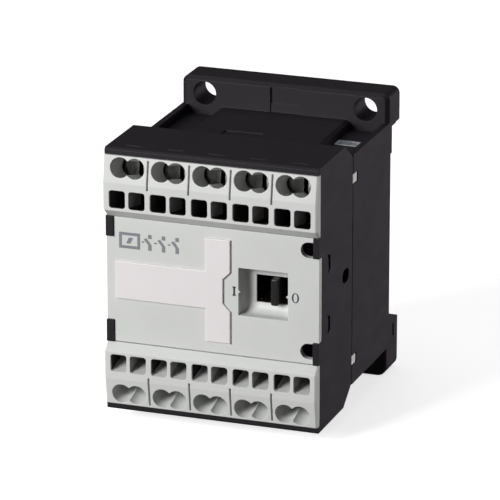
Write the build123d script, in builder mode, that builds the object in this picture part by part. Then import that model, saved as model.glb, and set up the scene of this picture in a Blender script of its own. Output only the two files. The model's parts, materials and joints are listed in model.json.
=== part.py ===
from build123d import *
import os

# DIN-rail mini contactor with spring-cage terminals, as an assembly of separate pieces.
#
# Row frame, millimetres: X to the right and Z up as seen from the front, Y into the device.
# The origin is on the mounting plane (the back, y = 0), at the middle of the width and height.
# The solenoid lies along X, so energising it slides the contact carrier 3 mm to the left,
# from 0 to I.

# ---- driving dimensions ------------------------------------------------------------------
WIDTH = 45.0
FLANGE_HALF_H = 30.5  # mounting flange, from the middle up
FLANGE_FRONT = -7.3
BASE_HALF_H = 24.4  # rear housing
POCKET_HALF_H = 22.5  # floors of the pockets beside the magnet hump
SEAM = -30.2  # plane where the two housings meet
FRONT_HALF_H = 27.6  # front housing
HOUSING_FRONT = -51.2
ENTRY_BACK = -45.2  # back of the wire and driver entries
COVER_TOP = 26.2
COVER_FRONT = -52.4  # foremost face of the terminal covers
PLATE_FRONT = -50.6  # front of the faceplate
PLATE_BACK = -49.15
PLATE_HALF_H = 13.15
SHOULDER = (8.6, 9.0)  # where the faceplate narrows, below and above the middle

HOLE_PITCH_X = 35.0
HOLE_PITCH_Z = 54.0
HOLE_R = 2.5

RAIL_HALF = 17.6  # half the height of the slot for a 35 mm rail
RAIL_FLOOR = -5.7

POLE_PITCH = 8.7
TERMINALS = [POLE_PITCH * i for i in (-2, -1, 0, 1, 2)]
COIL_X = TERMINALS[0]  # the leftmost terminals feed the coil
POLES = TERMINALS[1:]

WIRE_OFFSET = 2.08  # each terminal takes two conductors, this far from its middle
WIRE_W, WIRE_H, WIRE_Z = 3.46, 3.6, 17.3
WIRE_TILT = 12.0
WEB_HALF = 0.3  # wall between a terminal's two wire entries
DRIVER_OFFSET = 1.58
DRIVER_R, DRIVER_Z = 2.08, 23.87
DRIVER_TILT = 15.0

TRAVEL = 3.0  # stroke of the carrier
WIPE = 0.5  # part of the stroke that the contact springs take up

WALL = 1.25  # side wall of the front housing
INNER_X = WIDTH / 2 - WALL
BASE_INNER_X = 20.9
BASE_INNER_Z = 21.0
BASE_INNER_BACK = -8.6

STACK_Y = (-24.0, -14.0)  # lamination stack of the magnet
STACK_MID = -19.0
CORE_YOKE = (-20.0, -16.0)
CORE_FACE = -3.5
ARMATURE_FACE = CORE_FACE + TRAVEL + 0.05
ARMATURE_YOKE = (12.0, 16.0)
LEG_HALF = 5.0
OUTER_LEG = (10.9, 15.9)

BAR_Z = (16.3, 17.1)  # current bars
BRIDGE_Y = (-37.2, -33.4)
BRIDGE_MID = -35.3
TIP_Z, TIP_R, TIP_T = 6.4, 1.5, 0.5
CARRIER_Y = (-38.2, -32.4)
CARRIER_HALF_H = 3.2
FINGER_X = (11.7, 13.3)

WINDOW_MID = 0.3  # height of the window's middle
WINDOW_X, WINDOW_HALF_H = (5.5, 15.93), 4.98
OPENING_X, OPENING_HALF_H = (8.15, 15.3), 2.9
POCKET_BACK = -47.2

RETURN_SPRING_Z = 18.4
SPRING_SEAT_X = -2.1

os.makedirs("parts", exist_ok=True)


# ---- helpers -----------------------------------------------------------------------------
def block(x, y, z, mode=Mode.ADD):
    """A box between the limits x = (low, high), y and z, in the active part."""
    with Locations((sum(x) / 2, sum(y) / 2, sum(z) / 2)):
        Box(x[1] - x[0], y[1] - y[0], z[1] - z[0], mode=mode)


def side_slab(points, x, mode=Mode.ADD):
    """A (y, z) outline extruded between x = (low, high)."""
    with BuildSketch(Plane.YZ.offset(x[0])) as outline:
        with BuildLine():
            Polyline(*points, close=True)
        make_face()
    extrude(outline.sketch, amount=x[1] - x[0], mode=mode)


def front_slab(points, y, mode=Mode.ADD):
    """An (x, z) outline extruded between y = (front, back)."""
    with BuildSketch(Plane.XZ.offset(-y[0])) as outline:
        with BuildLine():
            Polyline(*points, close=True)
        make_face()
    extrude(outline.sketch, amount=y[0] - y[1], mode=mode)


def front_hole(centre, radius, y, mode=Mode.SUBTRACT):
    """A round hole (or boss) along Y at (x, z), between y = (front, back)."""
    with Locations(Location((centre[0], (y[0] + y[1]) / 2, centre[1]), (90, 0, 0))):
        Cylinder(radius, y[1] - y[0], mode=mode)


def bent_strip(points, radius, thickness, x):
    """A strip bent in the YZ plane along a rounded centre line, between x = (low, high)."""
    with BuildSketch(Plane.YZ.offset(x[0])) as outline:
        with BuildLine() as centre:
            FilletPolyline(*points, radius=radius)
        trace(centre.line, line_width=thickness)
    extrude(outline.sketch, amount=x[1] - x[0])


def coil_spring(start, length, axis, radius, wire, turns):
    """A round-wire compression spring along axis ('X' or 'Z') from the point start."""
    direction = {"X": (1, 0, 0), "Z": (0, 0, 1)}[axis]
    free = length - wire
    origin = tuple(s + d * wire / 2 for s, d in zip(start, direction))
    with BuildPart() as spring:
        with BuildLine() as centre:
            Helix(free / turns, free, radius - wire / 2, center=origin, direction=direction)
        with BuildSketch(Plane(centre.line @ 0, z_dir=centre.line % 0)):
            Circle(wire / 2)
        sweep()
    return spring.part


def save(shape, name):
    shape.label = name
    export_step(shape, f"parts/{name}.step")


def both_sides(part, plane):
    """The part and its mirror image, as one compound of separate solids."""
    return Compound(children=[*part.solids(), *mirror(part, about=plane).solids()])


# ---- housings ----------------------------------------------------------------------------
def rear_housing():
    """Magnet housing: flange with four screw holes, rail slot, hook and latch channel."""
    half = WIDTH / 2
    outline = [
        (SEAM + 0.25, BASE_HALF_H),
        (FLANGE_FRONT, BASE_HALF_H),
        (FLANGE_FRONT, FLANGE_HALF_H),
        (0, FLANGE_HALF_H),
        (0, 23.5),
        (-2.4, 23.5),
        (-2.4, 17.4),
        (-2.8, 17.0),
        (-4.3, 17.0),
        (-4.3, RAIL_HALF),
        (RAIL_FLOOR, RAIL_HALF),
        (RAIL_FLOOR, -RAIL_HALF),
        (-5.1, -RAIL_HALF),
        (0, -19.2),
        (0, -FLANGE_HALF_H),
        (FLANGE_FRONT, -FLANGE_HALF_H),
        (FLANGE_FRONT, -BASE_HALF_H),
        (SEAM + 0.25, -BASE_HALF_H),
    ]
    with BuildPart() as housing:
        side_slab(outline, (-half, half))
        fillet(housing.edges().filter_by(Axis.Y).filter_by_position(Axis.Z, 30, 31), 1.5)
        fillet(housing.edges().filter_by(Axis.Y).filter_by_position(Axis.Z, -31, -30), 2.0)
        rim = housing.faces().filter_by(Axis.Y).filter_by_position(Axis.Y, -7.4, -7.2)
        chamfer([e for f in rim for e in f.edges() if e.center().Z > 26], 0.8)
        rim = housing.faces().filter_by(Axis.Y).filter_by_position(Axis.Y, -7.4, -7.2)
        chamfer([e for f in rim for e in f.edges() if e.center().Z < -26], 0.3)
        block(
            (-BASE_INNER_X, BASE_INNER_X),
            (SEAM, BASE_INNER_BACK),
            (-BASE_INNER_Z, BASE_INNER_Z),
            mode=Mode.SUBTRACT,
        )
        for sx in (-1, 1):
            for sz in (-1, 1):
                pocket = [(13.2, 24.5), (14.1, 24.0), (14.5, POCKET_HALF_H), (21.2, POCKET_HALF_H), (21.2, 24.5)]
                front_slab(
                    [(sx * x, sz * z) for x, z in pocket],
                    (SEAM, FLANGE_FRONT),
                    mode=Mode.SUBTRACT,
                )
                centre = (sx * HOLE_PITCH_X / 2, sz * HOLE_PITCH_Z / 2)
                front_hole(centre, HOLE_R, (FLANGE_FRONT, 0))
                block(
                    sorted((sx * 6.6, sx * 13.0)),
                    (-4.9, 0),
                    sorted((sz * 24.9, sz * 29.2)),
                    mode=Mode.SUBTRACT,
                )
                block(
                    sorted((sx * (BASE_INNER_X - 0.1), sx * half)),
                    (SEAM, -27.1),
                    sorted((sz * 18.2, sz * 20.4)),
                    mode=Mode.SUBTRACT,
                )
        # shallow channel down the middle of the upper flange, deeper above its ledge
        block((-3.15, 3.15), (FLANGE_FRONT, -6.85), (26.2, 29.8), mode=Mode.SUBTRACT)
        block((-3.15, 3.15), (FLANGE_FRONT, -7.05), (BASE_HALF_H, 26.2), mode=Mode.SUBTRACT)
        # shallow panel sunk in the hump, above and below
        for sz in (-1, 1):
            z = sorted((sz * (BASE_HALF_H - 0.25), sz * (BASE_HALF_H + 1)))
            block((-7.5, 0.75), (SEAM, -22.3), z, mode=Mode.SUBTRACT)
        # small moulding slots in the sides of the foot, and the hook set back from the sides
        for sx in (-1, 1):
            x = sorted((sx * (half - 0.8), sx * (half + 0.1)))
            block(x, (-4.9, -2.3), (16.5, 23.3), mode=Mode.SUBTRACT)
            x = sorted((sx * (half - 0.8), sx * half))
            block(x, (-3.2, -2.3), (-22.9, -20.2), mode=Mode.SUBTRACT)
        # rests for the lamination stacks and seats for the return springs
        for sz in (-1, 1):
            z = sorted((sz * 11.4, sz * 15.4))
            block((-19.0, -6.0), (STACK_Y[1] + 0.05, BASE_INNER_BACK), z)
            block((-3.0, 17.5), (STACK_Y[1] + 0.1, BASE_INNER_BACK), z)
            seat = sorted((sz * 16.4, sz * BASE_INNER_Z))
            block((SPRING_SEAT_X - 1.4, SPRING_SEAT_X), (-22.0, BASE_INNER_BACK), seat)
        latch_channel()
    return housing.part


def latch_channel():
    """T-shaped channel for the rail latch, open below, with the peg that holds its spring."""
    bottom = -FLANGE_HALF_H - 1
    block((-5.1, 5.1), (-6.3, -3.6), (bottom, -RAIL_HALF + 0.1), mode=Mode.SUBTRACT)
    block((-3.6, 3.6), (-3.7, 0.1), (bottom, -RAIL_HALF + 0.1), mode=Mode.SUBTRACT)
    block((-1.4, 1.4), (-6.4, -4.3), (-28.4, -27.2))


def front_housing():
    """Contact housing: shell for the terminals and contacts, with the carrier's channel."""
    half = WIDTH / 2
    upper = [
        (SEAM - 0.1, 0),
        (SEAM - 0.1, 24.1),
        (-35.2, FRONT_HALF_H),
        (HOUSING_FRONT + 0.4, FRONT_HALF_H),
        (HOUSING_FRONT, FRONT_HALF_H - 0.4),
        (HOUSING_FRONT, COVER_TOP + 0.05),
        (-50.2, COVER_TOP + 0.05),
        (-50.2, 13.25),
        (PLATE_BACK + 0.05, 13.25),
        (PLATE_BACK + 0.05, 0),
    ]
    cavity = [(ENTRY_BACK + 0.05, 3.0), (ENTRY_BACK + 0.05, 26.2), (-36.2, 26.2), (-31.6, 22.9)]
    cavity += [(SEAM, 22.9), (SEAM, 3.0)]
    with BuildPart() as housing:
        side_slab(upper, (-half, half))
        for sx, inner in ((-1, 20.95), (1, 21.25)):
            tab_x = sorted((sx * inner, sx * half))
            block(tab_x, (-51.0, PLATE_BACK + 0.1), (SHOULDER[1] + 0.05, 13.25))
        block((-21.85, 21.85), (-50.3, ENTRY_BACK + 0.1), (14.2, 25.85), mode=Mode.SUBTRACT)
        side_slab(cavity, (-INNER_X, INNER_X), mode=Mode.SUBTRACT)
        # carrier channel, and a full-width recess for the partition plate
        block((-INNER_X, INNER_X), (-38.5, SEAM), (-0.1, CARRIER_HALF_H + 0.2), mode=Mode.SUBTRACT)
        # passage behind the indicator window
        block((4.9, 16.6), (-49.5, -46.7), (-0.1, 6.0), mode=Mode.SUBTRACT)
        block((8.0, 15.5), (-47.0, -38.0), (-0.1, 3.4), mode=Mode.SUBTRACT)
        # blind recesses behind the accessory notches
        block((18.4, 21.2), (-50.0, -45.8), (8.8, 12.3), mode=Mode.SUBTRACT)
        # clip holes for the faceplate pegs
        front_hole((-15.0, 7.5), 1.0, (-49.2, -46.5))
        front_hole((18.9, 6.6), 1.0, (-49.2, -46.5))
        # marking slots along the top edge
        for x in TERMINALS:
            block((x - 1.6, x + 2.0), (-49.0, -48.55), (FRONT_HALF_H - 0.8, 28), mode=Mode.SUBTRACT)
        side_marks(half)
        mirror(about=Plane.XY)
        # the lower tabs reach a little further up than the upper ones reach down
        for sx, inner in ((-1, 20.95), (1, 21.25)):
            tab_x = sorted((sx * inner, sx * half))
            block(tab_x, (-51.0, PLATE_BACK + 0.1), (-SHOULDER[1] - 0.1, -SHOULDER[0] - 0.05))
        # round-ended hole in each side wall
        for sx in (-1, 1):
            plane = Plane(origin=(sx * (half + 0.1), -34.4, 0.4), x_dir=(0, 1, 0), z_dir=(sx, 0, 0))
            with BuildSketch(plane) as hole:
                SlotOverall(4.0, 2.9)
            extrude(hole.sketch, amount=-(WALL + 0.3), mode=Mode.SUBTRACT)
    return housing.part


def pole_barriers():
    """Upper row of the plates that part the terminals and contacts of neighbouring poles."""
    outline = [(ENTRY_BACK + 0.1, 3.45), (ENTRY_BACK + 0.1, 26.15), (-36.2, 26.15), (-31.95, 23.0)]
    outline += [(-31.95, 3.45)]
    with BuildPart() as barriers:
        for x in POLES:
            side_slab(outline, (x - 4.7, x - 4.0))
    return barriers.part


def side_marks(half):
    """The bracket-shaped recess in each side wall, in the upper half."""
    bracket = [(-44.0, 7.9), (-44.0, 5.0), (-45.7, 4.2), (-45.15, 5.3), (-45.15, 7.2), (-45.7, 8.35)]
    for sx in (-1, 1):
        side_slab(bracket, sorted((sx * (half - 0.9), sx * (half + 0.1))), mode=Mode.SUBTRACT)


# ---- front covers ------------------------------------------------------------------------
# underside of the cover's deep band, which lines the outer side of the wire entries
BAND_FRONT, BAND_BACK = (-52.0, 18.92), (ENTRY_BACK, 17.47)


def band_z(y, drop=0.0):
    """Height of the band's underside at depth y, less a clearance."""
    share = (y - BAND_FRONT[0]) / (BAND_BACK[0] - BAND_FRONT[0])
    return BAND_FRONT[1] + share * (BAND_BACK[1] - BAND_FRONT[1]) - drop


def terminal_entries(x):
    """Cut one terminal's two wire entries and its double driver entry, both sloping down."""
    for side in (-1, 1):
        entry = Location((x + side * WIRE_OFFSET, COVER_FRONT, WIRE_Z), (90 - WIRE_TILT, 0, 0))
        with BuildSketch(Plane(entry)) as wire:
            RectangleRounded(WIRE_W, WIRE_H, 0.6)
        extrude(wire.sketch, amount=2, mode=Mode.SUBTRACT)
        extrude(wire.sketch, amount=-9, mode=Mode.SUBTRACT)
        entry = Location((x + side * DRIVER_OFFSET, -52.0, DRIVER_Z), (90 - DRIVER_TILT, 0, 0))
        with BuildSketch(Plane(entry)) as driver:
            Circle(DRIVER_R)
        extrude(driver.sketch, amount=1, mode=Mode.SUBTRACT)
        extrude(driver.sketch, amount=-9, mode=Mode.SUBTRACT)


def terminal_cover():
    """Upper terminal cover: a skin with the entries, and a deep band round the driver entries."""
    half = WIDTH / 2
    outline = [
        (COVER_FRONT, 14.9),
        (COVER_FRONT, 20.7),
        (-51.6, COVER_TOP),
        (-50.25, COVER_TOP),
        (-50.25, 13.3),
        (-50.75, 13.3),
    ]
    inside = [(-51.9, 15.1), (-51.9, band_z(-51.9)), (-50.0, band_z(-50.0)), (-50.0, 14.2), (-50.95, 14.2)]
    band = [(-50.4, band_z(-50.4)), BAND_BACK, (ENTRY_BACK, 25.8), (-50.4, 25.8)]
    web = [(-52.0, 15.58), (-52.0, 18.9), (ENTRY_BACK, 17.6), (ENTRY_BACK, 14.3)]
    with BuildPart() as cover:
        side_slab(outline, (-half, half))
        front_edges = cover.edges().filter_by_position(Axis.Y, -53, -51.5)
        ends = [e for e in front_edges if abs(abs(e.center().X) - half) < 0.01]
        chamfer(ends, 0.35)
        side_slab(inside, (-21.85, 21.85), mode=Mode.SUBTRACT)
        side_slab(band, (-21.8, 21.8))
        for x in TERMINALS:
            side_slab(web, (x - WEB_HALF, x + WEB_HALF))
            terminal_entries(x)
        for left, right in zip(TERMINALS, TERMINALS[1:]):
            middle = (left + right) / 2
            block((middle - 0.2, middle + 0.2), (-53, -51.0), (19.7, 25.75), mode=Mode.SUBTRACT)
    return cover.part


def entry_block():
    """Upper entry block: guides the wires from the cover to the cage springs."""
    gap = 0.05
    outline = [(-51.85, 15.15), (-51.85, band_z(-51.85, gap)), (ENTRY_BACK, band_z(ENTRY_BACK, gap))]
    outline += [(ENTRY_BACK, 14.25), (-50.9, 14.25)]
    with BuildPart() as guide:
        side_slab(outline, (-21.8, 21.8))
        for x in TERMINALS:
            side_slab([(-52, 15.51), (-52, 20), (-45, 20), (-45, 14.03)], (x - 0.6, x + 0.6), mode=Mode.SUBTRACT)
            terminal_entries(x)
    return guide.part


def faceplate():
    """Grey plate between the terminal covers, with the indicator window's dished pocket."""
    half = WIDTH / 2 - 0.05
    left, right = -20.9, 21.2
    below, above = SHOULDER
    outline = [
        (half, above),
        (right, above),
        (right, PLATE_HALF_H),
        (left, PLATE_HALF_H),
        (left, above),
        (-half, above),
        (-half, -below),
        (left, -below),
        (left, -PLATE_HALF_H),
        (right, -PLATE_HALF_H),
        (right, -below),
        (half, -below),
    ]
    wx, wz = WINDOW_X, (WINDOW_MID - WINDOW_HALF_H, WINDOW_MID + WINDOW_HALF_H)
    with BuildPart() as pocket:
        block(wx, (PLATE_FRONT - 0.1, POCKET_BACK), wz)
        back = pocket.faces().sort_by(Axis.Y)[-1]
        fillet([e for e in back.edges() if e.center().X < wx[1] - 0.1], 1.9)
    with BuildPart() as plate:
        front_slab(outline, (PLATE_FRONT, PLATE_BACK))
        block((5.0, 16.5), (PLATE_BACK - 0.1, -46.8), (WINDOW_MID - 5.5, WINDOW_MID + 5.5))
        add(pocket.part, mode=Mode.SUBTRACT)
        opening_z = (WINDOW_MID - OPENING_HALF_H, WINDOW_MID + OPENING_HALF_H)
        block(OPENING_X, (-48.5, -46.5), opening_z, mode=Mode.SUBTRACT)
        # index points at the middle of the window's sides
        for x, sx in ((wx[0], 1), (wx[1], -1)):
            point = [(x - sx * 0.05, -0.1), (x + sx * 0.45, 0.3), (x - sx * 0.05, 0.7)]
            front_slab(point, (PLATE_FRONT, PLATE_FRONT + 0.4))
        # notches for a front-mounted accessory
        for sz in (-1, 1):
            front_hole((20.17, sz * 10.55), 1.62, (PLATE_FRONT, PLATE_BACK))
            z = (sz * 10.55 - 1.62, sz * 10.55 + 1.62)
            block((20.17, 22.6), (PLATE_FRONT, PLATE_BACK), z, mode=Mode.SUBTRACT)
            front_hole((-15.0, sz * 7.5), 0.9, (PLATE_BACK - 0.2, -46.8), mode=Mode.ADD)
            front_hole((18.9, sz * 6.6), 0.9, (PLATE_BACK - 0.2, -46.8), mode=Mode.ADD)
    return plate.part


def label_plate():
    """T-shaped marking plate clipped on the faceplate, notched beside the window."""
    bar, tall, left, stem, right, notch = 3.95, 10.85, -20.45, -1.3, 3.9, 2.35
    outline = [
        (left, bar),
        (stem, bar),
        (stem, tall),
        (right, tall),
        (right, 4.1),
        (notch, 2.55),
        (notch, -2.55),
        (right, -4.1),
        (right, -tall),
        (stem, -tall),
        (stem, -bar),
        (left, -bar),
    ]
    with BuildPart() as label:
        front_slab(outline, (PLATE_FRONT - 0.45, PLATE_FRONT - 0.01))
        front = label.faces().sort_by(Axis.Y)[0]
        chamfer(front.edges(), 0.12)
    return label.part


def partition_plate():
    """Light plate between the housings; its four catches show in the rear housing's windows."""
    with BuildPart() as plate:
        block((-21.0, 21.0), (-31.9, -30.4), (-22.4, 22.4))
        block((8.9, 18.2), (-32.1, -30.2), (-3.6, 3.6), mode=Mode.SUBTRACT)
        for sz in (-1, 1):
            block(
                (COIL_X - 1.3, COIL_X + 1.3),
                (-32.1, -30.2),
                sorted((sz * (BAR_Z[0] - 0.8), sz * (BAR_Z[1] + 0.4))),
                mode=Mode.SUBTRACT,
            )
            block((-13.0, -6.0), (-30.5, STACK_Y[0] - 0.05), sorted((sz * 11.4, sz * 15.4)))
            for sx in (-1, 1):
                z = sorted((sz * 18.35, sz * 20.25))
                block(sorted((sx * 19.8, sx * 20.75)), (-30.5, -26.4), z)
                nose = [(20.7, -29.9), (22.4, -29.9), (22.4, -27.55), (20.7, -27.2)]
                with BuildSketch(Plane.XY.offset(z[0])) as catch:
                    with BuildLine():
                        Polyline(*[(sx * x, y) for x, y in nose], close=True)
                    make_face()
                extrude(catch.sketch, amount=z[1] - z[0])
    return plate.part


# ---- magnet ------------------------------------------------------------------------------
def e_lamination(yoke, face):
    """An E-shaped lamination stack in the active part, from its yoke to its pole faces."""
    legs = sorted((face, yoke[0] if face < yoke[0] else yoke[1]))
    block(yoke, STACK_Y, (-OUTER_LEG[1], OUTER_LEG[1]))
    block(legs, STACK_Y, (-LEG_HALF, LEG_HALF))
    for sz in (-1, 1):
        block(legs, STACK_Y, sorted((sz * OUTER_LEG[0], sz * OUTER_LEG[1])))


def fixed_core():
    """Fixed E core, slotted for the shading rings and riveted through its stack."""
    with BuildPart() as core:
        e_lamination(CORE_YOKE, CORE_FACE)
        for sz in (-1, 1):
            slot = sorted((sz * 12.98, sz * 13.82))
            block((CORE_FACE - 1.2, CORE_FACE + 0.1), (-25, -13), slot, mode=Mode.SUBTRACT)
            front_hole((-18.0, sz * 13.4), 1.2, (-24.5, -13.97), mode=Mode.ADD)
    return core.part


def shading_ring():
    """Copper frame round the outer half of one pole face."""
    with BuildPart() as ring:
        block((CORE_FACE - 1.1, CORE_FACE - 0.2), (-24.8, -13.2), (13.0, 16.7))
        block((-6, -3), (-24.02, -13.98), (13.8, 15.92), mode=Mode.SUBTRACT)
    return ring.part


def armature():
    """Moving E core, with the hole for the pin that ties it to the carrier."""
    with BuildPart() as core:
        e_lamination(ARMATURE_YOKE, ARMATURE_FACE)
        front_hole((14.0, 0), 1.0, (-25, -13))
        for sz in (-1, 1):
            front_hole((14.0, sz * 13.4), 1.2, (-24.5, -13.95), mode=Mode.ADD)
    return core.part


def armature_pin():
    with BuildPart() as pin:
        front_hole((14.0, 0), 0.98, (-25.6, -12.4), mode=Mode.ADD)
        chamfer(pin.edges(), 0.2)
    return pin.part


def coil_former():
    """Bobbin: square tube with a flange at each end."""
    bore, tube = 5.3, 6.1
    with BuildPart() as former:
        block((-15.7, 8.7), (STACK_MID - tube, STACK_MID + tube), (-tube, tube))
        for x in ((-15.7, -14.7), (7.7, 8.7)):
            block(x, (STACK_MID - 10.1, STACK_MID + 10.1), (-10.4, 10.4))
        fillet(former.edges().filter_by(Axis.X).group_by(SortBy.LENGTH)[0], 0.8)
        block((-16, 9), (STACK_MID - bore, STACK_MID + bore), (-bore, bore), mode=Mode.SUBTRACT)
    return former.part


def coil_winding():
    """The copper winding, as one sleeve that fills the bobbin."""
    with BuildPart() as winding:
        block((-14.68, 7.68), (STACK_MID - 9.7, STACK_MID + 9.7), (-9.9, 9.9))
        fillet(winding.edges().filter_by(Axis.X), 2.5)
        block((-15, 8), (STACK_MID - 6.12, STACK_MID + 6.12), (-6.12, 6.12), mode=Mode.SUBTRACT)
    return winding.part


# ---- contacts and carrier ----------------------------------------------------------------
def contact_carrier():
    """Comb that holds the bridges, with the indicator finger and the armature holder."""
    with BuildPart() as carrier:
        block((-12.0, 21.0), CARRIER_Y, (-CARRIER_HALF_H, CARRIER_HALF_H))
        for x in POLES:
            block((x + 0.33, x + 2.9), (BRIDGE_Y[0] - 0.1, BRIDGE_Y[1] + 0.1), (-4, 4), mode=Mode.SUBTRACT)
        finger_z = (WINDOW_MID - 2.8, WINDOW_MID + 2.8)
        block(FINGER_X, (-49.0, CARRIER_Y[0] + 0.1), finger_z)
        corners = carrier.edges().filter_by(Axis.Y).filter_by_position(Axis.Y, -48, -40)
        fillet(corners, 0.45)
        fillet(carrier.faces().sort_by(Axis.Y)[0].edges(), 0.3)
        block((16.15, 17.8), (CARRIER_Y[1] - 0.1, -12.3), (-CARRIER_HALF_H, CARRIER_HALF_H))
        for cheek in ((-25.7, -24.1), (-13.9, -12.3)):
            block((12.2, 16.2), cheek, (-CARRIER_HALF_H, CARRIER_HALF_H))
        front_hole((14.0, 0), 1.0, (-26, -12))
        block((16.15, 17.8), (STACK_MID - 1.9, STACK_MID + 1.9), (-20.3, 20.3))
        for sz in (-1, 1):
            with Locations(Location((15.7, STACK_MID, sz * RETURN_SPRING_Z), (0, 90, 0))):
                Cylinder(1.0, 1.0)
    return carrier.part


def contact_bridge(x):
    """Copper bridge with a silver-faced tip at each end, facing left."""
    with BuildPart() as bridge:
        block((x + 0.35, x + 0.95), BRIDGE_Y, (-8.2, 8.2))
        fillet(bridge.edges().filter_by(Axis.X), 0.8)
        for sz in (-1, 1):
            with Locations(Location((x + 0.1, BRIDGE_MID, sz * TIP_Z), (0, 90, 0))):
                Cylinder(TIP_R, TIP_T + 0.04)
    return bridge.part


def fixed_tip(x):
    with BuildPart() as tip:
        with Locations(Location((x - 3.2 + TIP_T / 2, BRIDGE_MID, TIP_Z), (0, 90, 0))):
            Cylinder(TIP_R, TIP_T)
    return tip.part


def current_bar(x, tail):
    """Upper current bar: clamping plate, two tongues through the cage springs, rear plate.

    A pole's bar turns down to its fixed contact; the coil's bar has a tail towards the coil.
    """
    with BuildPart() as bar:
        block((x - 3.6, x + 3.6), (-44.2, -38.7), BAR_Z)
        for side in (-1, 1):
            middle = x + side * WIRE_OFFSET
            block((middle - 0.95, middle + 0.95), (-38.8, -37.0), BAR_Z)
        block((x - (3.6 if tail else 3.9), x + 3.6), (-37.1, -33.5), BAR_Z)
        if tail:
            block((x - 1.0, x + 1.0), (-33.6, -29.4), BAR_Z)
        else:
            block((x - 3.9, x - 3.2), (-37.1, -33.5), (4.6, BAR_Z[1]))
    return bar.part


def cage_spring(x):
    """One cage spring: a bent loop over the bar, whose windowed leg pulls the wire up."""
    centre_line = [(-43.5, 17.4), (-44.2, 19.5), (-43.8, 23.4), (-41.4, 24.9), (-38.3, 23.0), (-37.6, 15.5)]
    with BuildPart() as spring:
        bent_strip(centre_line, 0.9, 0.35, (x - 1.6, x + 1.6))
        block((x - 1.15, x + 1.15), (-38.4, -37.0), (16.2, 20.1), mode=Mode.SUBTRACT)
    return spring.part


def coil_lead():
    """Lead from the coil bar's tail to the winding, upper side."""
    route = [
        (COIL_X, -30.3, BAR_Z[0] - 0.36),
        (COIL_X, -28.6, BAR_Z[0] - 0.36),
        (COIL_X, -28.0, 12.4),
        (-15.9, -27.0, 10.9),
        (-14.2, -26.4, 10.9),
        (-13.6, -25.9, 10.27),
    ]
    with BuildPart() as lead:
        with BuildLine() as centre:
            FilletPolyline(*route, radius=0.5)
        with BuildSketch(Plane(centre.line @ 0, z_dir=centre.line % 0)):
            Circle(0.35)
        sweep()
    return lead.part


# ---- rail latch --------------------------------------------------------------------------
def din_latch():
    """Sprung latch that hooks under the rail; its lower end has a slot for a screwdriver."""
    bottom = -FLANGE_HALF_H + 0.3
    with BuildPart() as latch:
        block((-4.95, 4.95), (-6.15, -3.75), (bottom, -17.8))
        nose = [(-3.8, bottom), (-0.4, bottom), (-0.4, -17.8), (-2.0, -16.1), (-4.4, -16.1)]
        nose += [(-4.4, -17.8), (-3.8, -18.2)]
        side_slab(nose, (-3.45, 3.45))
        block((-1.7, 1.7), (-6.2, -4.1), (-28.7, -21.0), mode=Mode.SUBTRACT)
        block((-2.2, 2.2), (-3.0, -1.8), (-30.6, -27.0), mode=Mode.SUBTRACT)
    return latch.part


# ---- build everything --------------------------------------------------------------------
def main():
    save(rear_housing(), "rear_housing")
    save(front_housing(), "front_housing")
    cover = terminal_cover()
    save(mirror(cover, about=Plane.XY), "lower_terminal_cover")
    save(cover, "upper_terminal_cover")
    guide = entry_block()
    save(mirror(guide, about=Plane.XY), "lower_entry_block")
    save(guide, "upper_entry_block")
    save(both_sides(pole_barriers(), Plane.XY), "pole_barriers")
    save(faceplate(), "faceplate")
    save(label_plate(), "label_plate")
    save(partition_plate(), "partition_plate")

    save(fixed_core(), "fixed_core")
    save(both_sides(shading_ring(), Plane.XY), "shading_rings")
    with BuildPart() as buffer:
        block((-20.85, -20.05), (-23.0, -15.0), (-12.0, 12.0))
    save(buffer.part, "core_buffer")
    save(coil_former(), "coil_former")
    save(coil_winding(), "coil_winding")
    save(both_sides(coil_lead(), Plane.XY), "coil_leads")
    save(armature(), "armature")
    save(armature_pin(), "armature_pin")
    spring_x = (SPRING_SEAT_X + 0.03, STACK_MID, RETURN_SPRING_Z)
    length = 16.12 - spring_x[0]
    spring = coil_spring(spring_x, length, "X", 1.85, 0.5, 8)
    save(both_sides(spring, Plane.XY), "return_springs")

    save(contact_carrier(), "contact_carrier")
    for number, x in enumerate(POLES, 1):
        save(contact_bridge(x), f"contact_bridge_{number}")
        spring = coil_spring((x + 0.97, BRIDGE_MID, 0), 1.9, "X", 1.6, 0.32, 3)
        save(spring, f"contact_spring_{number}")

    bars = [current_bar(x, tail=False) for x in POLES]
    save(Compound(children=[b.solid() for b in bars]), "upper_fixed_contacts")
    lower = [mirror(current_bar(x, tail=False), about=Plane.XY).solid() for x in POLES]
    save(Compound(children=lower), "lower_fixed_contacts")
    save(both_sides(current_bar(COIL_X, tail=True), Plane.XY), "coil_terminal_bars")
    tips = Compound(children=[fixed_tip(x).solid() for x in POLES])
    save(both_sides(tips, Plane.XY), "fixed_contact_tips")

    for number, x in enumerate(TERMINALS):
        for letter, side in (("a", -1), ("b", 1)):
            spring = cage_spring(x + side * WIRE_OFFSET)
            save(mirror(spring, about=Plane.XY), f"lower_clamp_{number}{letter}")
            save(spring, f"upper_clamp_{number}{letter}")

    save(din_latch(), "din_latch")
    save(coil_spring((0, -5.15, -27.15), 6.1, "Z", 0.85, 0.28, 7), "latch_spring")
    with BuildPart() as label:
        block((14.6, 20.6), (-18.7, -15.6), (POCKET_HALF_H + 0.01, POCKET_HALF_H + 0.11))
    save(label.part, "coil_label")


main()
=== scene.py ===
import json
import math

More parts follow.
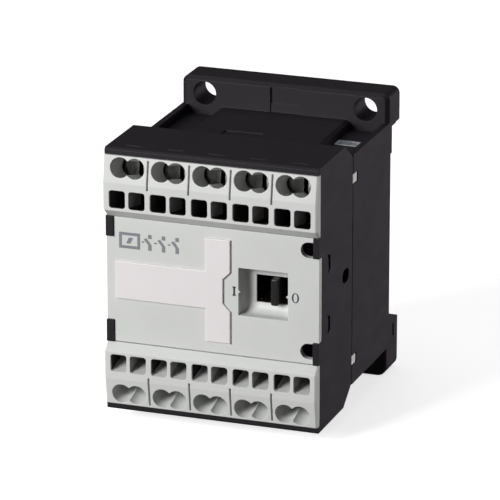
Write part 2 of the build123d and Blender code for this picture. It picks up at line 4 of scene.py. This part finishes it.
import bmesh
import bpy
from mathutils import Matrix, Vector


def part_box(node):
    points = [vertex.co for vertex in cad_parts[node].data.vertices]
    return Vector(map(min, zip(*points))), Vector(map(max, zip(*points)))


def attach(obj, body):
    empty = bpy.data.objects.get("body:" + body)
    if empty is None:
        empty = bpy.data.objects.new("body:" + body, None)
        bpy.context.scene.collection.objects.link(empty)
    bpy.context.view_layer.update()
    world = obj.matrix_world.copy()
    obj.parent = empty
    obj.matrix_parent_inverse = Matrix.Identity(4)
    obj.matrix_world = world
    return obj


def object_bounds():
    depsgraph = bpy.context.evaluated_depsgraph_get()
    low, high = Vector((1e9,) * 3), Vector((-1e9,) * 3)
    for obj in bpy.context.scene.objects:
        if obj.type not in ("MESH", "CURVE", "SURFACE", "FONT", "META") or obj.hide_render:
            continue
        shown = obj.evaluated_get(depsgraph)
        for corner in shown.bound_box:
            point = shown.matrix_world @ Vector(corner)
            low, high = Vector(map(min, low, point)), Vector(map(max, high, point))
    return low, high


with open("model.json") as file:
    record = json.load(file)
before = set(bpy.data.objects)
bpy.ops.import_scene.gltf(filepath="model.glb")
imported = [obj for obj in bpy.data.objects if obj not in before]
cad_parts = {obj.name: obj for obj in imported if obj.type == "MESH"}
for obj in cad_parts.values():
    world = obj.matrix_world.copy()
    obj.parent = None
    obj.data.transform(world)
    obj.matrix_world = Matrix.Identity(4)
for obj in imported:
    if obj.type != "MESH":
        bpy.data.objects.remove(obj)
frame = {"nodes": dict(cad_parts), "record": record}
CAD_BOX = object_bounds()

# ------------------------------------------------------------------ material helpers


def new_material(name, color, rough, metallic=0.0, specular=0.5):
    mat = bpy.data.materials.new(name)
    mat.use_nodes = True
    shader = mat.node_tree.nodes["Principled BSDF"]
    shader.inputs["Base Color"].default_value = (*color, 1.0)
    shader.inputs["Roughness"].default_value = rough
    shader.inputs["Metallic"].default_value = metallic
    shader.inputs["Specular IOR Level"].default_value = specular
    return mat, mat.node_tree, shader


def object_coords(tree, scale=(1.0, 1.0, 1.0)):
    coord = tree.nodes.new("ShaderNodeTexCoord")
    mapping = tree.nodes.new("ShaderNodeMapping")
    mapping.inputs["Scale"].default_value = scale
    tree.links.new(coord.outputs["Object"], mapping.inputs["Vector"])
    return mapping.outputs["Vector"]


def noise(tree, vector, scale, detail=3.0, rough=0.55):
    node = tree.nodes.new("ShaderNodeTexNoise")
    node.inputs["Scale"].default_value = scale
    node.inputs["Detail"].default_value = detail
    node.inputs["Roughness"].default_value = rough
    tree.links.new(vector, node.inputs["Vector"])
    return node.outputs["Fac"]


def ramp(tree, value, stops):
    node = tree.nodes.new("ShaderNodeValToRGB")
    ends = node.color_ramp.elements
    while len(ends) < len(stops):
        ends.new(0.5)
    for end, (at, color) in zip(ends, stops):
        end.position = at
        end.color = (*color, 1.0)
    tree.links.new(value, node.inputs["Fac"])
    return node.outputs["Color"]


def spread(tree, value, low, high, start=0.3, stop=0.7):
    node = tree.nodes.new("ShaderNodeMapRange")
    node.inputs["From Min"].default_value = start
    node.inputs["From Max"].default_value = stop
    node.inputs["To Min"].default_value = low
    node.inputs["To Max"].default_value = high
    tree.links.new(value, node.inputs["Value"])
    return node.outputs["Result"]


def bump(tree, shader, height, strength, distance, radius=None):
    node = tree.nodes.new("ShaderNodeBump")
    node.inputs["Strength"].default_value = strength
    node.inputs["Distance"].default_value = distance
    tree.links.new(height, node.inputs["Height"])
    if radius:
        edge = tree.nodes.new("ShaderNodeBevel")
        edge.samples = 4
        edge.inputs["Radius"].default_value = radius
        tree.links.new(edge.outputs["Normal"], node.inputs["Normal"])
    tree.links.new(node.outputs["Normal"], shader.inputs["Normal"])


def edge_mask(tree, radius):
    """1 along sharp edges and 0 on flat areas, from how far the rounded normal leans."""
    rounded = tree.nodes.new("ShaderNodeBevel")
    rounded.samples = 6
    rounded.inputs["Radius"].default_value = radius
    own = tree.nodes.new("ShaderNodeNewGeometry")
    dot = tree.nodes.new("ShaderNodeVectorMath")
    dot.operation = "DOT_PRODUCT"
    tree.links.new(rounded.outputs["Normal"], dot.inputs[0])
    tree.links.new(own.outputs["Normal"], dot.inputs[1])
    return spread(tree, dot.outputs["Value"], 1.0, 0.0, 0.86, 0.985)


def blend(tree, factor, low, high):
    """Mix two colours; each is a socket or a plain colour."""
    mix = tree.nodes.new("ShaderNodeMix")
    mix.data_type = "RGBA"
    tree.links.new(factor, mix.inputs["Factor"])
    for socket, value in ((mix.inputs[6], low), (mix.inputs[7], high)):
        if isinstance(value, tuple):
            socket.default_value = (*value, 1.0)
        else:
            tree.links.new(value, socket)
    return mix.outputs[2]


GRAIN = 7000.0  # scale of the spark-eroded texture
EDGE_RADIUS = 0.00016  # rounding of the moulded edges, in metres


def moulded(name, color, edge_highlight, rough, cloudy=0.08, specular=0.5, depth=0.00004, uneven=1.0):
    """Moulded plastic: spark-eroded grain, faint flow clouds, uneven gloss, and a painted highlight
    along the edges, in patches like rubbed wear.

    The fourth argument is the colour of the painted edge highlight, cloudy the strength of the flow
    clouds, depth the height of the grain in metres, and uneven scales the changes in gloss.
    """
    mat, tree, shader = new_material(name, color, rough, 0.0, specular)
    at = object_coords(tree)
    cloud = noise(tree, at, 90.0, 4.0)
    speckle = noise(tree, at, 1500.0, 3.0, 0.65)
    flow = noise(tree, object_coords(tree, (1.0, 0.35, 1.0)), 350.0, 2.0)
    grit = noise(tree, at, GRAIN, 2.0, 0.7)
    dark, pale = (tuple(c * k for c in color) for k in (1.0 - cloudy, 1.0 + cloudy))
    base = ramp(tree, cloud, ((0.3, dark), (0.7, pale)))
    fleck = spread(tree, speckle, 0.0, 0.5, 0.45, 0.8)
    base = blend(tree, fleck, base, tuple(c * (1.0 - 1.6 * cloudy) for c in color))
    # painted highlight: edges are lightened toward the edge colour, in patches like rubbed wear
    painted_edge_light = tree.nodes.new("ShaderNodeMath")
    painted_edge_light.operation = "MULTIPLY"
    tree.links.new(edge_mask(tree, EDGE_RADIUS), painted_edge_light.inputs[0])
    tree.links.new(spread(tree, noise(tree, at, 700.0, 3.0), 0.25, 0.9), painted_edge_light.inputs[1])
    tree.links.new(blend(tree, painted_edge_light.outputs["Value"], base, edge_highlight), shader.inputs["Base Color"])
    gloss = spread(tree, flow, rough - 0.05 * uneven, rough + 0.07 * uneven)
    tree.links.new(gloss, shader.inputs["Roughness"])
    bump(tree, shader, grit, 0.35, depth, EDGE_RADIUS)
    return mat


def metal(name, color, rough, grain=(1.0, 1.0, 1.0), streak=2500.0):
    """Stamped or drawn metal: fine streaks along the grain and slightly uneven tarnish."""
    mat, tree, shader = new_material(name, color, rough, 1.0)
    cloud = noise(tree, object_coords(tree), 220.0, 4.0)
    dull = tuple(c * 0.72 for c in color)
    tree.links.new(ramp(tree, cloud, ((0.3, dull), (0.7, color))), shader.inputs["Base Color"])
    lines = noise(tree, object_coords(tree, grain), streak, 2.0)
    tree.links.new(spread(tree, lines, rough - 0.07, rough + 0.1), shader.inputs["Roughness"])
    bump(tree, shader, lines, 0.25, 0.00002)
    return mat


BLACK = (0.0092, 0.0066, 0.0094)
# colour of the painted highlight along the black moulding's edges
BLACK_EDGE_HIGHLIGHT = (0.04, 0.036, 0.04)
# each moulding's second colour is its painted edge highlight
MATERIALS = {
    "black_housing": moulded(
        "black moulding", BLACK, BLACK_EDGE_HIGHLIGHT, 0.52, 0.12, 0.32, depth=0.00005, uneven=0.25
    ),
    "cover_grey": moulded("grey moulding", (0.6, 0.61, 0.595), (0.76, 0.77, 0.76), 0.5, 0.025),
    "label_white": moulded(
        "marking plate", (0.74, 0.705, 0.71), (0.86, 0.84, 0.84), 0.42, 0.015
    ),
    "carrier_black": moulded(
        "carrier moulding", (0.008, 0.008, 0.009), (0.03, 0.03, 0.03), 0.4, 0.12
    ),
    "insulation_grey": moulded(
        "partition moulding", (0.84, 0.84, 0.82), (0.88, 0.88, 0.86), 0.45, 0.03
    ),
    "former_plastic": moulded(
        "bobbin moulding", (0.66, 0.61, 0.5), (0.75, 0.7, 0.6), 0.4, 0.04
    ),
    "buffer_rubber": moulded("buffer rubber", (0.02, 0.02, 0.02), (0.05, 0.05, 0.05), 0.75, 0.15),
    "coil_label_stock": moulded(
        "coil label", (0.46, 0.51, 0.56), (0.6, 0.65, 0.7), 0.35, 0.04
    ),
    "copper": metal("bright copper", (0.82, 0.36, 0.22), 0.3, (1.0, 0.1, 1.0)),
    "silver": metal("contact silver", (0.85, 0.84, 0.81), 0.28),
    "core_steel": metal("core laminations", (0.45, 0.45, 0.46), 0.38, (0.2, 6.0, 0.2), 500.0),
    "spring_steel": metal("spring steel", (0.62, 0.61, 0.59), 0.25, (4.0, 0.2, 0.2)),
    "copper_winding": metal("enamelled winding", (0.60, 0.22, 0.08), 0.35, (8.0, 0.1, 0.1), 900.0),
}
INK = moulded("dark print", (0.035, 0.05, 0.058), (0.08, 0.1, 0.11), 0.5, 0.1)
GREY_INK = moulded("grey print", (0.215, 0.222, 0.237), (0.3, 0.3, 0.32), 0.5, 0.06)
for part in frame["record"]["subparts"]:
    node = frame["nodes"][part["node"]]
    for slot in node.material_slots:
        slot.material = MATERIALS[part["material_slot"]]

# ------------------------------------------------------------------ printed marks

PRINT_DEPTH = 0.00002
SUNK = 0.00000001  # how far a print's underside sits inside its face
MM = 0.001


def on_faceplate(u, v, lift):
    return (u, plate_front - lift, v)


def on_coil_label(u, v, lift):
    return (u, v, label_top + lift)


def printed(name, outlines, place, material, body="base"):
    """A thin layer of print: closed outlines in millimetres, laid on a face by place()."""
    mesh = bmesh.new()
    for ring in outlines:
        low = [mesh.verts.new(place(u * MM, v * MM, 0.0)) for u, v in ring]
        high = [mesh.verts.new(place(u * MM, v * MM, PRINT_DEPTH)) for u, v in ring]
        mesh.faces.new(low)
        mesh.faces.new(high)
        for k in range(len(ring)):
            nxt = (k + 1) % len(ring)
            mesh.faces.new((low[k], low[nxt], high[nxt], high[k]))
    bmesh.ops.recalc_face_normals(mesh, faces=mesh.faces)
    return piece_from(mesh, name, material, body)


def piece_from(mesh, name, material, body):
    data = bpy.data.meshes.new(name)
    mesh.to_mesh(data)
    mesh.free()
    data.materials.append(material)
    piece = bpy.data.objects.new(name, data)
    bpy.context.collection.objects.link(piece)
    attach(piece, body)
    return piece


def bar(x0, x1, z0, z1, lean=0.0):
    return [(x0, z0), (x1, z0), (x1 + lean, z1), (x0 + lean, z1)]


def arc_points(cx, cz, rx, rz, start, stop, count):
    steps = [math.radians(start + (stop - start) * k / count) for k in range(count + 1)]
    return [(cx + rx * math.cos(a), cz + rz * math.sin(a)) for a in steps]


def oval(cx, cz, rx, rz, stroke_x, stroke_z):
    """The left and right halves of an oval ring."""
    halves = []
    for start in (90, 270):
        outer = arc_points(cx, cz, rx, rz, start, start + 180, 20)
        inner = arc_points(cx, cz, rx - stroke_x, rz - stroke_z, start + 180, start, 20)
        halves.append(outer + inner)
    return halves


plate_low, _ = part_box("faceplate")
plate_front = plate_low[1] + SUNK
label_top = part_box("coil_label")[1][2] - SUNK
# generic circuit symbol: a coil box, its link, and three open contacts
coil = [bar(-19.8, -19.2, 6.7, 10.05), bar(-15.9, -15.3, 6.7, 10.05)]
coil += [bar(-19.2, -15.9, 6.7, 7.3), bar(-19.2, -15.9, 9.45, 10.05)]
coil += [bar(-18.3, -17.4, 7.75, 9.0, 0.6)]
contacts = []
for x in (-13.6, -10.7, -7.8):
    contacts += [bar(x, x + 0.75, 6.7, 7.9), bar(x, x + 0.75, 9.2, 10.05)]
    contacts.append([(x, 7.9), (x + 0.75, 7.9), (x - 0.35, 9.3), (x - 0.95, 9.0)])
link = [bar(x, x + 0.55, 8.25, 8.55) for x in (-14.95, -12.3, -9.4)]
printed("symbol_print", coil + contacts + link, on_faceplate, GREY_INK)
stroke = [bar(4.4, 4.82, -0.65, 1.25)]
serifs = [bar(4.16, 5.06, 1.16, 1.25), bar(4.16, 5.06, -0.65, -0.56)]
serifs += [[(4.2, -0.56), (5.02, -0.56), (4.82, -0.38), (4.4, -0.38)]]
serifs += [[(4.2, 1.16), (4.4, 0.98), (4.82, 0.98), (5.02, 1.16)]]
printed("on_mark", stroke + serifs, on_faceplate, INK)
printed("off_mark", oval(17.47, 0.31, 0.76, 1.04, 0.34, 0.15), on_faceplate, INK)

# plain bars stand in for the lettering on the coil's label
rows = [bar(15.1, 20.1, -18.2, -17.75), bar(15.1, 19.0, -17.35, -16.95)]
rows += [bar(15.1, 17.6, -16.5, -16.1)]
printed("coil_label_print", rows, on_coil_label, INK)

# ------------------------------------------------------------------ stage, light and camera


def floor_plane():
    low, _ = CAD_BOX
    mesh = bpy.data.meshes.new("floor")
    span = 6.0
    corners = [(x, y, low[2]) for x, y in ((-span, -span), (span, -span), (span, span), (-span, span))]
    mesh.from_pydata(corners, [], [(0, 1, 2, 3)])
    floor = bpy.data.objects.new("floor", mesh)
    bpy.context.collection.objects.link(floor)
    mat, tree, shader = new_material("pale floor", (0.9, 0.9, 0.9), 0.8, 0.0, 0.1)
    shader.inputs["Emission Color"].default_value = (1.0, 1.0, 1.0, 1.0)
    shader.inputs["Emission Strength"].default_value = 0.68
    mesh.materials.append(mat)
    # the floor doesn't throw its light back, so that shaded sides stay as dark as on a studio table
    floor.visible_diffuse = False
    floor.visible_glossy = False


def soft_light(name, at, target, size, watts, color=(1, 1, 1)):
    data = bpy.data.lights.new(name, "AREA")
    data.shape = "RECTANGLE"
    data.size, data.size_y = size
    data.energy = watts
    data.color = color
    lamp = bpy.data.objects.new(name, data)
    lamp.location = at
    lamp.rotation_euler = (Vector(target) - Vector(at)).to_track_quat("-Z", "Y").to_euler()
    bpy.context.collection.objects.link(lamp)
    return lamp


def studio_world(ambient, backdrop):
    """Dim even light all round; the backdrop itself is seen pale."""
    world = bpy.data.worlds.new("studio")
    world.use_nodes = True
    tree = world.node_tree
    dim = tree.nodes["Background"]
    dim.inputs["Color"].default_value = (1.0, 0.985, 0.99, 1.0)
    dim.inputs["Strength"].default_value = ambient
    pale = tree.nodes.new("ShaderNodeBackground")
    pale.inputs["Strength"].default_value = backdrop
    path = tree.nodes.new("ShaderNodeLightPath")
    mix = tree.nodes.new("ShaderNodeMixShader")
    tree.links.new(path.outputs["Is Camera Ray"], mix.inputs["Fac"])
    tree.links.new(dim.outputs["Background"], mix.inputs[1])
    tree.links.new(pale.outputs["Background"], mix.inputs[2])
    tree.links.new(mix.outputs["Shader"], tree.nodes["World Output"].inputs["Surface"])
    bpy.context.scene.world = world


floor_plane()
studio_world(0.085, 0.97)
centre = (0.0, -0.026, 0.0)
soft_light("key", (-0.34, -0.6, 0.24), centre, (0.3, 0.3), 5.7)
soft_light("overhead", (-0.1, 0.05, 0.6), centre, (0.5, 0.5), 0.75)
# a card behind on the right that only shows as sheen on the sides
card = soft_light("card", (0.5, 0.75, -0.1), centre, (0.5, 0.6), 1.2, (1.0, 0.92, 1.0))
card.visible_diffuse = False
# a fill from the right for the pale catches and cover ends, with no sheen of its own
fill = soft_light("fill", (0.6, 0.06, 0.05), centre, (0.3, 0.3), 2.0)
fill.visible_glossy = False

AZIMUTH, ELEVATION = math.radians(19.694), math.radians(18.464)
right = Vector((math.cos(AZIMUTH), math.sin(AZIMUTH), 0))
outward = Vector(
    (
        math.sin(AZIMUTH) * math.cos(ELEVATION),
        -math.cos(AZIMUTH) * math.cos(ELEVATION),
        math.sin(ELEVATION),
    )
)
up = outward.cross(right)
target = Vector(centre) - right * 0.000806 + up * 0.000611
data = bpy.data.cameras.new("camera")
data.sensor_width = 36.0
data.lens = 313.36
data.clip_end = 20.0
camera = bpy.data.objects.new("camera", data)
camera.location = target + outward * 0.886792
camera.rotation_euler = outward.to_track_quat("Z", "Y").to_euler()
bpy.context.collection.objects.link(camera)
bpy.context.scene.camera = camera
bpy.context.scene.view_settings.view_transform = "Standard"
